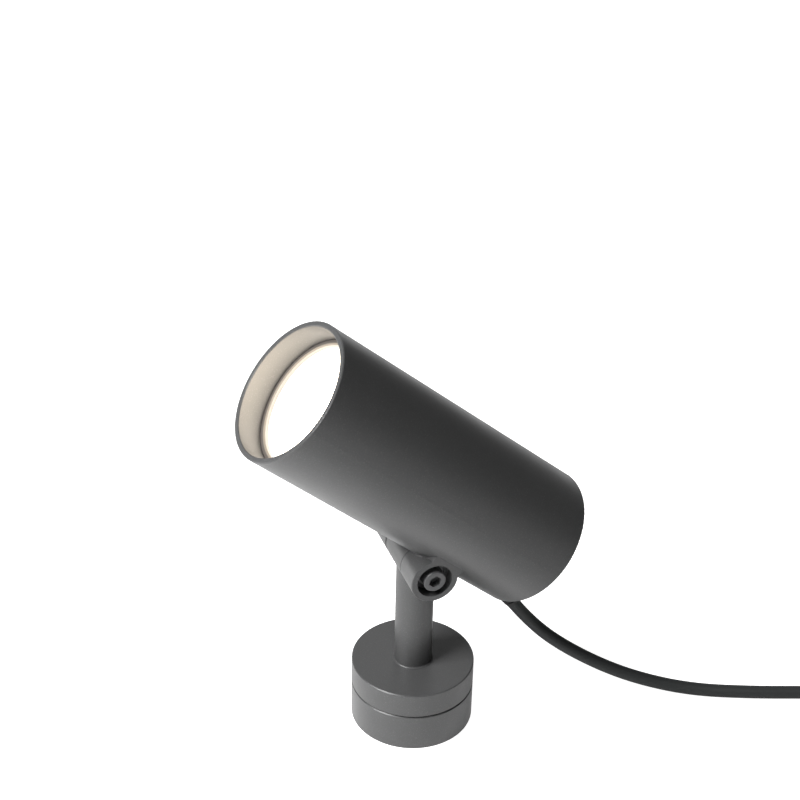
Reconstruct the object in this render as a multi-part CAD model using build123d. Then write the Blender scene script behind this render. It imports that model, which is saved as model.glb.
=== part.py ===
from build123d import *

# Outdoor ground spotlight: a tubular head, hinged on a stem that swivels on a two-tier round base.
# Millimetres. Origin at the centre of the base's underside, +Z up, the beam leaves towards -Y.
# The pieces of the head are made in a frame at the tilt pivot: X along the hinge screw,
# Y along the tube towards its rear end, Z from the pivot to the tube's axis.

import os
from math import asin, cos, degrees, hypot, pi, radians, sin, sqrt, tan

# Pose at rest, degrees above the horizontal
head_tilt = 41.4
tilt_highest = 60.0

# Round head
head_diameter = 64.0
head_wall = 2.4
head_front = 105.5
head_rear = 43.9
pivot_gap = 0.5
rim_round = 0.5
slip_gap = 0.1

# Stack behind the rim, front to back
recess_depth = 12.5
ring_width = 2.5
ring_thickness = 2.0
glass_thickness = 4.0
glass_gap = 0.4
gasket_thickness = 1.5
shoulder_width = 3.2
shoulder_thickness = 3.0
reflector_depth = 22.9
reflector_skin = 1.2
reflector_flange = 1.5
reflector_mouth_gap = 1.0
reflector_throat = 9.0
board_diameter = 42.0
board_thickness = 1.6
chip_diameter = 13.0
chip_thickness = 1.0
sink_core = 8.0
fin_length = 20.0
fin_thickness = 2.0
fin_pitch = 8.0
fin_count = 6
fin_inset = 2.5
lead_hole_drop = 14.0
lead_hole_diameter = 5.0

# Hinge
pivot_height = 90.9
barrel_diameter = 21.3
knuckle_width = 18.4
near_gap = 0.1
far_gap = 0.9
hinge_width = 46.6
pad_length = 16.2
pad_lift = 1.0
pad_round_inset = 1.0
barrel_edge = 0.3
pocket_gap = 0.6
relief_gap = 0.5
hump_wall = 2.0
hump_boss_top = 17.0
hump_boss_width = 18.0
bridge_thickness = 4.0
bridge_length = 13.0
friction_washer_diameter = 15.0

# M6 hinge screw with its washer and nut
screw_diameter = 6.0
screw_clearance = 0.2
running_clearance = 0.06
cap_head_diameter = 10.0
cap_head_height = 6.0
cap_head_edge = 0.5
hex_key = 5.0
hex_key_depth = 3.0
head_proud = 0.4
washer_diameter = 12.0
washer_thickness = 1.6
counterbore_diameter = 16.0
nut_across_flats = 10.0
nut_thickness = 5.0
nut_sunk = 1.0
nut_gap = 0.15

# Small screws
m3_diameter = 3.0
m3_head_diameter = 5.5
m3_head_height = 2.4
m4_diameter = 4.0
m4_head_diameter = 8.0
thread_gap = 0.05
hole_gap = 0.2
bridge_screw_spacing = 10.0
bridge_screw_length = 8.5
board_screw_circle = 33.0
board_screw_length = 6.0

# Driver inside the head
tray_width = 36.0
tray_floor = 1.5
tray_wall = 1.5
tray_height = 7.0
tray_front = 22.0
tray_notch_width = 14.0
tray_notch_length = 10.0
driver_board_width = 30.0
driver_board_length = 44.0
driver_board_thickness = 1.6
driver_board_lift = 3.5
choke_size = (14.0, 14.0, 11.0)
capacitor_diameter = 10.0
capacitor_length = 14.0
terminal_size = (11.0, 8.0, 9.0)
lead_diameter = 1.6
lead_spacing = 3.0

# Rear cap and cable gland
cap_sunk = 0.5
cap_flange_thickness = 3.5
cap_flange_step = 0.8
cap_spigot_length = 6.0
cap_floor = 4.0
cap_rim_wall = 5.4
o_ring_section = 1.8
o_ring_groove_width = 2.2
cap_screw_length = 14.0
lug_diameter = 6.8
lug_gap = 0.6
lug_length = 11.0
gland_edge = 8.0
gland_slant = 23.0
gland_boss_diameter = 13.2
gland_core_diameter = 10.4
gland_boss_height = 3.2
gland_core_depth = 9.0
gland_nut_height = 4.5
gland_thread_diameter = 8.8
gland_thread_length = 1.6
seal_length = 2.5
boot_length = 12.5
boot_bend = 7.5
boot_root_diameter = 9.2
boot_tip_diameter = 7.2
boot_neck_diameter = 7.8

# Stem and base
stem_diameter = 17.0
stem_cove = 0.8
stem_land = 0.15
stem_spigot_diameter = 12.0
stem_spigot_length = 10.0
base_diameter = 55.4
base_height = 30.9
foot_height = 18.3
base_gap = 0.4
base_edge = 0.4
hub_diameter = 24.0
hub_clearance = 0.05
foot_web_underside = 8.0
foot_cavity_diameter = 35.2
thrust_washer_inner = 26.0
thrust_washer_outer = 40.0
spring_washer_thickness = 0.6
retainer_thickness = 2.0
retainer_diameter = 27.8
retainer_lug_reach = 17.0
retainer_lug_width = 4.4
swivel_screw_diameter = 6.0
swivel_head_diameter = 11.0
swivel_head_height = 2.6
swivel_screw_length = 22.0
stop_pin_circle = 31.4
stop_pin_diameter = 3.0
stop_pin_length = 3.0
stop_pin_seat = 4.0
cover_thickness = 2.0
cover_sunk = 0.4
fixing_circle = 45.0
fixing_hole_diameter = 5.0
fixing_hole_depth = 9.0
foot_pad_inner = 36.8
foot_pad_outer = 52.8
foot_pad_thickness = 1.0
foot_pad_hole_gap = 0.7

# Cord: 6 mm rubber cable, one metre and a half, its spare length coiled and tied
cord_diameter = 6.0
cord_gap = 0.05
coil_pitch = 6.6
coil_layer = 6.6
coil_turns_in = 3
coil_middle_radius = 33.0
coil_tail = 38.0
coil_heading = 69.3
tie_width = 6.0
tie_thickness = 1.0
tie_gap = 1.2
tie_lift = 0.2
connector_length = 26.0
connector_nut_length = 12.0
connector_nut_step = 1.2
connector_grip_count = 18
pin_diameter = 2.4
pin_length = 8.0
pin_circle = 8.0

# The cord's free route from the tip of its boot to the start of the coil, chosen by hand
cord_first_run = 11.6
cord_route = [
    (5.4, 66.4, 27.8),
    (14.6, 85.4, 15.8),
    (23.1, 104.4, 7.8),
    (33.1, 127.0, 3.0),
    (43.8, 152.4, 3.0),
    (52.8, 178.9, 3.0),
]
coil_start = (71.0, 225.4)
coil_lead_in = 24.0

# Worked out from the sizes above
head_radius = head_diameter / 2
bore_radius = head_radius - head_wall
axis_height = head_radius + pivot_gap
y_rim = -head_front
y_ring = y_rim + recess_depth
y_glass = y_ring + ring_thickness
y_gasket = y_glass + glass_thickness
y_shoulder = y_gasket + gasket_thickness
y_reflector = y_shoulder + shoulder_thickness
y_board = y_reflector + reflector_depth
y_sink = y_board + board_thickness
y_fins = y_sink + sink_core
y_cap = head_rear - cap_sunk
y_cap_seat = y_cap - cap_flange_thickness
y_spigot = y_cap_seat - cap_spigot_length
ring_bore = bore_radius - ring_width
shoulder_bore = bore_radius - shoulder_width
spigot_radius = bore_radius - slip_gap
sink_radius = bore_radius - slip_gap
cap_flange_radius = bore_radius + cap_flange_step
cap_screw_reach = bore_radius - lug_diameter / 2 - lug_gap
gland_drop = head_radius - gland_edge

barrel_radius = barrel_diameter / 2
ear_face = hinge_width / 2
near_inner = knuckle_width / 2 + near_gap
far_inner = -knuckle_width / 2 - far_gap
pocket_radius = barrel_radius + pocket_gap
stem_radius = stem_diameter / 2
relief_radius = stem_radius + relief_gap
screw_radius = screw_diameter / 2
head_underside = ear_face + head_proud - cap_head_height
washer_seat = head_underside - washer_thickness
nut_inner = -ear_face + nut_sunk + nut_thickness
bridge_top = hump_boss_top + bridge_thickness

y_tray_end = y_spigot - slip_gap
z_tray = bridge_top
z_driver_board = z_tray + driver_board_lift
y_driver_front = -tray_front + tray_wall + slip_gap

base_radius = base_diameter / 2
disc_underside = foot_height + base_gap
hub_foot = foot_web_underside - spring_washer_thickness
retainer_underside = hub_foot - retainer_thickness
cover_underside = cover_sunk

cord_radius = cord_diameter / 2
coil_outer = coil_middle_radius + coil_pitch * coil_turns_in / 2
coil_floor = tie_thickness + tie_lift + cord_radius
coil_top = coil_floor + coil_layer
connector_radius = coil_top

head_frame = Pos(0, 0, pivot_height) * Rot(-head_tilt, 0, 0)
tube_frame = Pos(0, 0, axis_height)
gland_frame = Pos(0, y_cap, axis_height - gland_drop) * Rot(-90 - gland_slant, 0, 0)


def turned(*corners):
    """Ring or disc about the tube's axis, from (radius, station along the tube) corners."""
    return tube_frame * revolve(make_face(Polyline(*corners, close=True)), axis=Axis.Y)


def spun(*corners):
    """Ring or disc about the base's upright axis, from (radius, height) corners."""
    return revolve(Plane.XZ * make_face(Polyline(*corners, close=True)), axis=Axis.Z)


def rod_x(radius, start, end, edge=0.0):
    """Round bar along the hinge screw between two stations, with an edge chamfer if asked."""
    bar = Cylinder(radius, end - start)
    if edge:
        bar = chamfer(bar.edges().filter_by(GeomType.CIRCLE), edge)
    return Pos((start + end) / 2, 0, 0) * Rot(0, 90, 0) * bar


def rod_y(radius, start, end):
    """Round bar along Y between two stations."""
    return Pos(0, (start + end) / 2, 0) * Rot(90, 0, 0) * Cylinder(radius, end - start)


def rod_z(radius, bottom, top):
    """Upright round bar between two heights."""
    return Pos(0, 0, (bottom + top) / 2) * Cylinder(radius, top - bottom)


def tube_core(radius):
    """Bar about the tube's axis, longer than the head, to cut with."""
    return tube_frame * rod_y(radius, -2 * head_front, 2 * head_front)


def block(x0, x1, y0, y1, z0, z1):
    """Box between two corners."""
    return Pos((x0 + x1) / 2, (y0 + y1) / 2, (z0 + z1) / 2) * Box(x1 - x0, y1 - y0, z1 - z0)


def around(count, reach, shape, first=90.0):
    """Copies of a shape set round the tube's axis, from its place at that reach above the axis."""
    step = 360 / count
    return [
        tube_frame * Rot(0, first - 90 + step * i, 0) * Pos(0, 0, reach) * shape
        for i in range(count)
    ]


def small_screw(length, head_radius_mm, head_height, shank_radius):
    """Screw along +Y: its head ends at zero and its shank runs from there."""
    return rod_y(head_radius_mm, -head_height, 0) + rod_y(shank_radius, 0, length)


def hinge_void(grow, start, end):
    """Room that the knuckle and the leaning stem sweep in the head, grown by a wall."""
    reach = 2 * head_radius
    stem_way = Rot(tilt_highest, 0, 0) * rod_z(relief_radius + grow, -reach, 0)
    return rod_x(pocket_radius + grow, start, end) + stem_way


# Head


def head_tube():
    """Extruded tube: rim, glass shoulder, rear seat, screw lugs and the hinge window."""
    seat_radius = cap_flange_radius + slip_gap
    tube = turned(
        (head_radius, y_rim),
        (head_radius, head_rear),
        (seat_radius, head_rear),
        (seat_radius, y_cap_seat),
        (bore_radius, y_cap_seat),
        (bore_radius, y_reflector),
        (shoulder_bore, y_reflector),
        (shoulder_bore, y_shoulder),
        (bore_radius, y_shoulder),
        (bore_radius, y_rim),
    )
    lug_end = y_spigot - slip_gap
    lug = rod_y(lug_diameter / 2, lug_end - lug_length, lug_end)
    lug += block(
        -lug_diameter / 2,
        lug_diameter / 2,
        lug_end - lug_length,
        lug_end,
        0,
        bore_radius + head_wall / 2 - cap_screw_reach,
    )
    lug -= rod_y(m3_diameter / 2 + thread_gap, lug_end - lug_length, lug_end)
    for placed in around(3, cap_screw_reach, lug):
        tube += placed
    rims = tube.edges().filter_by(GeomType.CIRCLE).filter_by(
        lambda e: abs(e.center().Y - y_rim) < 1e-3 or abs(e.center().Y - head_rear) < 1e-3
    )
    tube = fillet(rims, rim_round)
    window = hinge_void(
        hump_wall + slip_gap,
        far_inner - hump_wall - slip_gap,
        near_inner + hump_wall + slip_gap,
    )
    tube -= rod_x(screw_radius + screw_clearance, -ear_face, ear_face)
    return tube - window - screw_recess() - nut_pocket()


def ear(start, end, inner):
    """Hinge ear: a barrel held off the tube by a saddle pad, square outside and round inside."""
    half = pad_length / 2
    pad = Pos(inner, 0, 0) * rod_z(barrel_radius - barrel_edge, 0, axis_height)
    pad &= block(start, end, -barrel_radius, barrel_radius, 0, axis_height)
    pad += block(start, end, -half, half, 0, axis_height)
    barrel = rod_x(barrel_radius, start, end, barrel_edge) - tube_core(head_radius + pad_lift)
    return barrel + (pad - tube_core(head_radius + slip_gap / 5))


def screw_recess():
    """Stepped recess in the near ear for the washer and the screw head."""
    seat = rod_x(washer_diameter / 2 + screw_clearance, washer_seat, head_underside)
    return seat + rod_x(counterbore_diameter / 2, head_underside, ear_face)


def nut_pocket():
    """Hexagon pocket in the far ear that keeps the nut from turning."""
    hexagon = RegularPolygon(nut_across_flats / 2 + nut_gap, 6, major_radius=False)
    pocket = extrude(Plane.YZ * hexagon, -ear_face)
    return pocket - block(nut_inner, ear_face, -ear_face, ear_face, -ear_face, ear_face)


def hinge_bracket():
    """Two ears outside the tube, joined through its window by a hump that houses the knuckle."""
    near_wall = near_inner + hump_wall
    far_wall = far_inner - hump_wall
    hump = hinge_void(hump_wall, far_wall, near_wall) & tube_core(head_radius)
    half_boss = hump_boss_width / 2
    half_bridge = bridge_length / 2
    boss = block(-half_boss, half_boss, -half_bridge, half_bridge, 0, hump_boss_top)
    half_pad = pad_length / 2
    bracket = ear(near_inner, ear_face, near_inner + pad_round_inset) + hump + boss
    bracket += ear(-ear_face, far_inner, far_inner - pad_round_inset)
    bracket += block(near_inner, near_wall, -half_pad, half_pad, 0, pocket_radius)
    bracket += block(far_wall, far_inner, -half_pad, half_pad, 0, pocket_radius)
    bracket -= hinge_void(0, far_inner, near_inner)
    bracket -= rod_x(screw_radius + screw_clearance, -ear_face, ear_face)
    bracket -= screw_recess() + nut_pocket()
    for x in (-bridge_screw_spacing / 2, bridge_screw_spacing / 2):
        depth = bridge_screw_length - bridge_thickness
        bracket -= Pos(x, 0, 0) * rod_z(
            m4_diameter / 2 + thread_gap, hump_boss_top - depth, hump_boss_top
        )
    return bracket


def clamp_bridge():
    """Bar inside the tube, wedged on its wall, that the bracket's screws draw down."""
    half = bridge_length / 2
    bar = block(-bore_radius, bore_radius, -half, half, hump_boss_top, bridge_top)
    bar &= tube_core(bore_radius - slip_gap / 2)
    for screw in bridge_screws(hole_gap):
        bar -= screw
    return bar


def bridge_screws(grow=0.0):
    """Two countersunk M4 screws from the bridge into the bracket's hump."""
    head = m4_head_diameter / 2
    shank = m4_diameter / 2
    cone = head - shank
    screw = spun(
        (0, bridge_top - bridge_screw_length),
        (shank + grow, bridge_top - bridge_screw_length),
        (shank + grow, bridge_top - cone),
        (head + grow, bridge_top),
        (0, bridge_top),
    )
    return [Pos(x, 0, 0) * screw for x in (-bridge_screw_spacing / 2, bridge_screw_spacing / 2)]


def retaining_ring():
    """Ring that holds the glass: its bright face shows round the lens."""
    ring = turned(
        (ring_bore, y_ring),
        (spigot_radius, y_ring),
        (spigot_radius, y_glass),
        (ring_bore, y_glass),
    )
    inner_edge = ring.edges().filter_by(GeomType.CIRCLE).group_by(SortBy.RADIUS)[0]
    front = inner_edge.sort_by(Axis.Y)[0]
    return chamfer(front, ring_thickness / 3)


def front_glass():
    """Frosted front glass with a bevelled edge."""
    radius = bore_radius - glass_gap
    pane = turned((0, y_glass), (radius, y_glass), (radius, y_gasket), (0, y_gasket))
    return chamfer(pane.edges().filter_by(GeomType.CIRCLE), glass_gap)


def glass_gasket():
    """Flat silicone ring between the glass and the tube's shoulder."""
    outer = bore_radius - glass_gap
    return turned(
        (shoulder_bore, y_gasket),
        (outer, y_gasket),
        (outer, y_shoulder),
        (shoulder_bore, y_shoulder),
    )


def reflector():
    """Spun reflector cup from the shoulder to the light chip."""
    mouth = shoulder_bore - reflector_mouth_gap
    y_lip = y_reflector + reflector_flange
    return turned(
        (spigot_radius, y_reflector),
        (spigot_radius, y_lip),
        (mouth, y_lip),
        (reflector_throat + reflector_skin, y_board),
        (reflector_throat, y_board),
        (mouth - reflector_skin, y_reflector),
    )


def board_screw_places():
    """Stations of the three screws that hold the light board."""
    return around(3, board_screw_circle / 2, Pos(0, y_board, 0))


def lead_hole(start, end):
    """Way for the light board's leads, under the tube's axis."""
    return tube_frame * Pos(0, 0, -lead_hole_drop) * rod_y(lead_hole_diameter / 2, start, end)


def led_board():
    """Round metal-core board."""
    board = tube_frame * rod_y(board_diameter / 2, y_board, y_sink)
    for place in board_screw_places():
        board -= place * rod_y(m3_diameter / 2 + hole_gap, 0, board_thickness)
    return board - lead_hole(y_board, y_sink)


def led_chip():
    """Light chip on the board's front."""
    return tube_frame * rod_y(chip_diameter / 2, y_board - chip_thickness, y_board)


def board_screws():
    """Three M3 screws through the board into the heat sink."""
    screw = small_screw(
        board_screw_length, m3_head_diameter / 2, m3_head_height, m3_diameter / 2 - thread_gap
    )
    return [place * screw for place in board_screw_places()]


def heat_sink():
    """Finned aluminium plug that carries the board."""
    sink = tube_frame * rod_y(sink_radius, y_sink, y_fins)
    fin_reach = sink_radius - fin_inset
    for i in range(fin_count):
        x = fin_pitch * (i - (fin_count - 1) / 2)
        half = sqrt(fin_reach**2 - (abs(x) + fin_thickness / 2) ** 2)
        fin = block(
            x - fin_thickness / 2,
            x + fin_thickness / 2,
            y_fins,
            y_fins + fin_length,
            -half,
            half,
        )
        sink += tube_frame * fin
    for place in board_screw_places():
        sink -= place * rod_y(m3_diameter / 2, 0, board_screw_length)
    return sink - lead_hole(y_sink, y_fins)


def driver_tray():
    """Open plastic tray on the bridge, notched at the rear for the supply leads."""
    half = tray_width / 2
    tray = block(-half, half, -tray_front, y_tray_end, z_tray, z_tray + tray_height)
    tray -= block(
        -half + tray_wall,
        half - tray_wall,
        -tray_front + tray_wall,
        y_tray_end - tray_wall,
        z_tray + tray_floor,
        z_tray + tray_height,
    )
    for side in (-1, 1):
        rail = side * (half - tray_wall)
        inward = rail - side * (tray_width - driver_board_width) / 2
        tray += block(
            min(rail, inward),
            max(rail, inward),
            -tray_front + tray_wall,
            -tray_front + tray_wall + driver_board_length,
            z_tray + tray_floor,
            z_driver_board,
        )
    notch = tray_notch_width / 2
    tray -= block(
        -notch, notch, -tray_front, -tray_front + tray_wall, z_driver_board, z_tray + tray_height
    )
    return tray - block(
        -notch,
        notch,
        y_tray_end - tray_notch_length,
        y_tray_end,
        z_tray,
        z_tray + tray_height,
    )


def driver_board():
    """Driver circuit board on the tray's rails."""
    half = driver_board_width / 2
    return block(
        -half,
        half,
        y_driver_front,
        y_driver_front + driver_board_length,
        z_driver_board,
        z_driver_board + driver_board_thickness,
    )


def on_driver_board(size, x, station):
    """Box standing on the driver board, centred at x and a station from the board's front."""
    width, length, height = size
    y = y_driver_front + station
    top = z_driver_board + driver_board_thickness
    return block(x - width / 2, x + width / 2, y - length / 2, y + length / 2, top, top + height)


def driver_choke():
    """Wound choke in a square can."""
    return on_driver_board(choke_size, 0, driver_board_length / 2)


def driver_capacitor():
    """Capacitor lying on the board."""
    top = z_driver_board + driver_board_thickness
    y = y_driver_front + capacitor_diameter / 2 + choke_size[1] / 4
    can = rod_x(capacitor_diameter / 2, -capacitor_length / 2, capacitor_length / 2)
    return Pos(0, y, top + capacitor_diameter / 2) * can


def terminal_block():
    """Screw terminal for the supply leads at the board's rear edge."""
    return on_driver_board(terminal_size, 0, driver_board_length - terminal_size[1] / 2)


def bent_lead(*points):
    """Insulated lead through points, with a soft bend at each corner."""
    path = FilletPolyline(*points, radius=2 * lead_diameter)
    start = path.edges()[0]
    return sweep(Plane(start @ 0, z_dir=start % 0) * Circle(lead_diameter / 2), path=path)


def led_leads():
    """Two leads from the driver's front edge through the sink to the light board."""
    z_low = axis_height - lead_hole_drop
    z_high = z_driver_board + driver_board_thickness + lead_diameter / 2
    gap = lead_spacing / 2
    return [
        bent_lead(
            (x, y_driver_front + lead_diameter, z_high),
            (x, (y_fins + fin_length - tray_front) / 2, z_high),
            (x, (y_fins + fin_length - tray_front) / 2, z_low),
            (x, y_board, z_low),
        )
        for x in (-gap, gap)
    ]


def supply_leads():
    """Two leads from the end of the sheath up to the terminal block."""
    start = gland_frame * Pos(0, 0, -gland_core_depth)
    turn = (gland_frame * Pos(0, 0, -gland_core_depth - 3 * lead_diameter)).position
    z_high = z_driver_board + driver_board_thickness + terminal_size[2] / 2
    gap = lead_spacing / 2
    return [
        bent_lead(
            (x, start.position.Y, start.position.Z),
            (x, turn.Y, turn.Z),
            (x, turn.Y, z_high),
            (x, y_driver_front + driver_board_length, z_high),
        )
        for x in (-gap, gap)
    ]


def rear_cap():
    """Cup-shaped end cap with an O-ring groove and a slanted boss for the cable gland."""
    groove_front = (y_spigot + y_cap_seat - o_ring_groove_width) / 2
    groove_radius = bore_radius - o_ring_section
    hollow = spigot_radius - cap_rim_wall
    y_hollow = y_cap - cap_floor
    cap = turned(
        (0, y_cap),
        (cap_flange_radius, y_cap),
        (cap_flange_radius, y_cap_seat),
        (spigot_radius, y_cap_seat),
        (spigot_radius, groove_front + o_ring_groove_width),
        (groove_radius, groove_front + o_ring_groove_width),
        (groove_radius, groove_front),
        (spigot_radius, groove_front),
        (spigot_radius, y_spigot),
        (hollow, y_spigot),
        (hollow, y_hollow),
        (0, y_hollow),
    )
    core = gland_frame * rod_z(gland_core_diameter / 2, -gland_core_depth, 0)
    cap += core & tube_core(groove_radius)
    reach = 2 * head_radius
    room = block(-reach, reach, head_rear, 2 * head_rear, -reach, reach)
    room += tube_core(cap_flange_radius) & block(-reach, reach, y_cap_seat, reach, -reach, reach)
    cap += gland_frame * rod_z(gland_boss_diameter / 2, -cap_floor, gland_boss_height) & room
    cap -= gland_frame * rod_z(cord_radius + slip_gap, -2 * gland_core_depth, gland_boss_height)
    cap -= gland_frame * rod_z(
        gland_thread_diameter / 2,
        gland_boss_height - gland_thread_length - seal_length,
        gland_boss_height,
    )
    for place in around(3, cap_screw_reach, Pos(0, y_cap, 0)):
        cap -= place * rod_y(m3_diameter / 2 + hole_gap, -2 * cap_spigot_length, 0)
        cap -= place * rod_y(m3_head_diameter / 2 + hole_gap, -m3_head_height, 0)
    return cap


def rear_o_ring():
    """O-ring in the cap's groove."""
    middle = (y_spigot + y_cap_seat) / 2
    section = Pos(bore_radius - o_ring_section / 2, middle) * Circle(o_ring_section / 2)
    return tube_frame * revolve(section, axis=Axis.Y)


def rear_cap_screws():
    """Three M3 cap screws that draw the rear cap onto the tube's lugs."""
    screw = small_screw(
        cap_screw_length, m3_head_diameter / 2, m3_head_height, m3_diameter / 2 - thread_gap
    )
    seat = y_cap - m3_head_height
    return around(3, cap_screw_reach, Pos(0, seat, 0) * Rot(0, 0, 180) * screw)


def gland_seal():
    """Rubber bush squeezed round the cord by the gland nut."""
    top = gland_boss_height - gland_thread_length
    seal = rod_z(gland_thread_diameter / 2 - cord_gap, top - seal_length, top)
    return gland_frame * (seal - rod_z(cord_radius + cord_gap, top - seal_length, top))


def gland_nut():
    """Hexagon nut whose spigot screws into the boss and holds the boot."""
    top = gland_boss_height + gland_nut_height
    hexagon = RegularPolygon(gland_boss_diameter / 2 - cap_sunk, 6)
    nut = Pos(0, 0, gland_boss_height) * extrude(hexagon, gland_nut_height)
    nut += rod_z(
        gland_thread_diameter / 2 - thread_gap, gland_boss_height - gland_thread_length, top
    )
    nut -= rod_z(cord_radius + slip_gap, -top, top)
    nut -= rod_z(boot_neck_diameter / 2 + cord_gap, gland_boss_height, top)
    return gland_frame * nut


def boot_frame(share):
    """Frame a share of the way along the boot's gentle upward bend, its Z along the cord."""
    bend_radius = boot_length / radians(boot_bend)
    base = gland_boss_height + gland_nut_height
    swing = Pos(0, -bend_radius, base) * Rot(boot_bend * share, 0, 0) * Pos(0, bend_radius, 0)
    return gland_frame * swing


def boot_section(share, diameter):
    """Circle across the boot, a share of the way along it."""
    return boot_frame(share) * Circle(diameter / 2)


def cord_boot():
    """Tapered rubber sleeve that guards the cord where it leaves the gland."""
    middle = (boot_root_diameter + boot_tip_diameter) / 2
    sleeve = loft(
        [
            boot_section(0, boot_root_diameter),
            boot_section(0.5, middle),
            boot_section(1, boot_tip_diameter),
        ]
    )
    bore = cord_diameter + 2 * cord_gap
    sleeve -= loft([boot_section(0, bore), boot_section(0.5, bore), boot_section(1, bore)])
    base = gland_boss_height + gland_nut_height
    neck = rod_z(boot_neck_diameter / 2, gland_boss_height, base)
    neck -= rod_z(cord_radius + cord_gap, gland_boss_height, base)
    return sleeve + gland_frame * neck


def cord_inner():
    """The cord's stretch inside the boot, the gland and the cap."""
    base = gland_boss_height + gland_nut_height
    straight = gland_frame * rod_z(cord_radius, -gland_core_depth, base)
    bent = loft(
        [
            boot_section(0, cord_diameter),
            boot_section(0.5, cord_diameter),
            boot_section(1, cord_diameter),
        ]
    )
    return straight + bent


def tilt_screw():
    """M6 socket cap screw: the tilt axle and clamp."""
    top = ear_face + head_proud
    head = rod_x(cap_head_diameter / 2, head_underside, top)
    rim = head.edges().filter_by(GeomType.CIRCLE).sort_by(Axis.X)[-1]
    head = fillet(rim, cap_head_edge)
    socket = extrude(Plane.YZ * RegularPolygon(hex_key / 2, 6, major_radius=False), top)
    head -= socket - block(-top, top - hex_key_depth, -top, top, -top, top)
    tip = nut_inner - nut_thickness + nut_sunk / 2
    return head + rod_x(screw_radius, tip, head_underside)


def tilt_washer():
    """Plain washer under the screw head."""
    ring = rod_x(washer_diameter / 2, washer_seat, head_underside)
    return ring - rod_x(screw_radius + screw_clearance, washer_seat, head_underside)


def tilt_nut():
    """M6 nut held in the far ear's hexagon pocket."""
    flats = RegularPolygon(nut_across_flats / 2, 6, major_radius=False)
    nut = Pos(nut_inner - nut_thickness, 0, 0) * extrude(Plane.YZ * flats, nut_thickness)
    return nut - rod_x(screw_radius + thread_gap, nut_inner - nut_thickness, nut_inner)


# Column


def stem():
    """Turned stem with a cove at its foot and the cross knuckle of the hinge on top."""
    wide = stem_radius + stem_cove
    spigot = stem_spigot_diameter / 2
    spigot_foot = base_height - stem_spigot_length
    cove_top = base_height + stem_land + stem_cove
    turn = stem_cove * (1 - sqrt(0.5))
    outline = [
        Line((0, spigot_foot), (spigot, spigot_foot)),
        Line((spigot, spigot_foot), (spigot, base_height)),
        Line((spigot, base_height), (wide, base_height)),
        Line((wide, base_height), (wide, base_height + stem_land)),
        ThreePointArc(
            (wide, base_height + stem_land),
            (stem_radius + turn, base_height + stem_land + turn),
            (stem_radius, cove_top),
        ),
        Line((stem_radius, cove_top), (stem_radius, pivot_height)),
        Line((stem_radius, pivot_height), (0, pivot_height)),
        Line((0, pivot_height), (0, spigot_foot)),
    ]
    post = revolve(Plane.XZ * make_face(outline), axis=Axis.Z)
    half = knuckle_width / 2
    knuckle = rod_x(barrel_radius, -half, half, barrel_edge)
    post += Pos(0, 0, pivot_height) * knuckle
    post -= Pos(0, 0, pivot_height) * rod_x(screw_radius + running_clearance, -half, half)
    tapped_top = retainer_underside + swivel_screw_length + slip_gap
    return post - rod_z(swivel_screw_diameter / 2 + thread_gap, 0, tapped_top)


def friction_washer():
    """Friction disc in the gap between the knuckle and the far ear."""
    ring = rod_x(friction_washer_diameter / 2, far_inner, far_inner + far_gap)
    ring -= rod_x(screw_radius + slip_gap, far_inner, far_inner + far_gap)
    return Pos(0, 0, pivot_height) * ring


def swivel_disc():
    """Upper tier of the base: a disc with a hub that turns in the foot."""
    screw_way = swivel_screw_diameter / 2 + hole_gap
    socket = stem_spigot_diameter / 2 + slip_gap / 2
    socket_floor = base_height - stem_spigot_length
    return spun(
        (screw_way, hub_foot),
        (hub_diameter / 2, hub_foot),
        (hub_diameter / 2, disc_underside),
        (base_radius - base_edge, disc_underside),
        (base_radius, disc_underside + base_edge),
        (base_radius, base_height - base_edge),
        (base_radius - base_edge, base_height),
        (socket, base_height),
        (socket, socket_floor),
        (screw_way, socket_floor),
    )


def retaining_washer():
    """Washer under the hub, with the lug that meets the stop pin."""
    ring = rod_z(retainer_diameter / 2, retainer_underside, hub_foot)
    ring += block(
        -retainer_lug_width / 2,
        retainer_lug_width / 2,
        -retainer_lug_reach,
        0,
        retainer_underside,
        hub_foot,
    )
    return ring - rod_z(swivel_screw_diameter / 2 + hole_gap, retainer_underside, hub_foot)


def swivel_screw():
    """Screw that ties washer, hub and stem together from below."""
    head = rod_z(
        swivel_head_diameter / 2, retainer_underside - swivel_head_height, retainer_underside
    )
    rim = head.edges().filter_by(GeomType.CIRCLE).sort_by(Axis.Z)[0]
    head = fillet(rim, swivel_head_height / 3)
    head -= Pos(0, 0, retainer_underside - swivel_head_height) * extrude(
        RegularPolygon(hex_key / 3, 6, major_radius=False), swivel_head_height / 2
    )
    shank_top = retainer_underside + swivel_screw_length
    return head + rod_z(swivel_screw_diameter / 2, retainer_underside, shank_top)


# Base


def fixing_places():
    """Three fixing stations on the foot's underside."""
    return [Rot(0, 0, 90 + 120 * i + 60) * Pos(fixing_circle / 2, 0, 0) for i in range(3)]


def foot():
    """Lower tier of the base: bearing bore, cavity, pad recess and three tapped fixings."""
    bearing = hub_diameter / 2 + hub_clearance
    body = spun(
        (bearing, foot_web_underside),
        (foot_cavity_diameter / 2, foot_web_underside),
        (foot_cavity_diameter / 2, 0),
        (foot_pad_inner / 2, 0),
        (foot_pad_inner / 2, foot_pad_thickness),
        (foot_pad_outer / 2, foot_pad_thickness),
        (foot_pad_outer / 2, 0),
        (base_radius - base_edge, 0),
        (base_radius, base_edge),
        (base_radius, foot_height - base_edge),
        (base_radius - base_edge, foot_height),
        (bearing, foot_height),
    )
    for place in fixing_places():
        body -= place * rod_z(fixing_hole_diameter / 2, 0, fixing_hole_depth)
    return body - stop_pin()


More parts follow.
